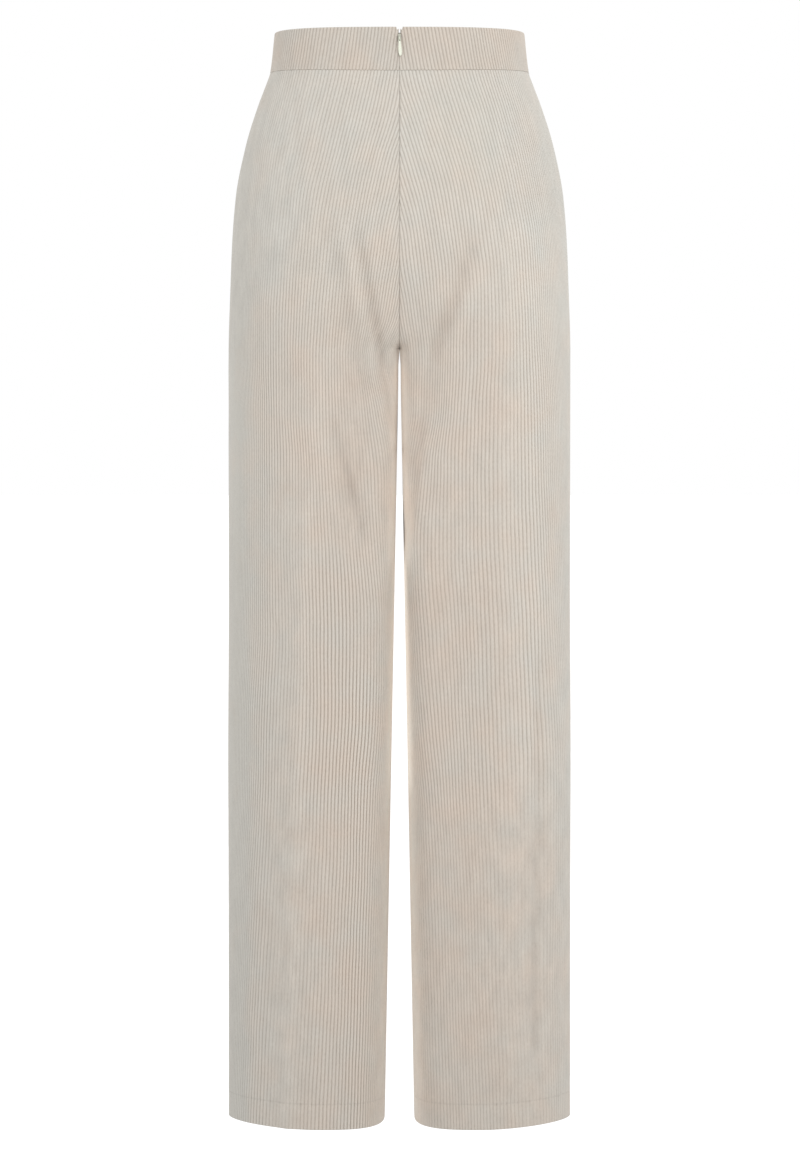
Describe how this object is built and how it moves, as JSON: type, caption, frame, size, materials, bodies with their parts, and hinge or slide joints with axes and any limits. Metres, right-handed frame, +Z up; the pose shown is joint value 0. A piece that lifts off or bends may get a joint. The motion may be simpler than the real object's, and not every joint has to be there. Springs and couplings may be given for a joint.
{
  "type": "corduroy trousers",
  "caption": "High-waisted, wide-legged corduroy trousers in their worn hollow form, with a separate waistband and a concealed zip at the centre back.",
  "frame": {"origin": "middle of the waistband ring, halfway up the waistband", "axes": "+Z up from the hems to the waist, -Y out of the back, where the zip is, and -X to the wearer's left"},
  "size_m": [0.3388, 0.23, 1.07],
  "materials": {
    "corduroy": "matt pale cream-beige cotton corduroy",
    "zip_tape": "matt cream woven polyester",
    "cream_enamel": "satin cream enamel"
  },
  "bodies": {
    "trousers": {"back_panel_left": "corduroy", "back_panel_right": "corduroy", "front_panel_left": "corduroy", "front_panel_right": "corduroy", "waistband_back_left": "corduroy", "waistband_back_right": "corduroy", "waistband_front": "corduroy", "zip_tape_left": "zip_tape", "zip_tape_right": "zip_tape", "zip_coil": "zip_tape", "zip_slider": "cream_enamel"},
    "pull_tab": {"zip_pull_tab": "cream_enamel"}
  },
  "joints": [
    {"name": "pull_tab_swing", "type": "hinge", "parent": "trousers", "child": "pull_tab", "pos_m": [0, -0.0919, 0.009], "axis": [-1, 0, 0], "range_deg": [0, 150]}
  ]
}
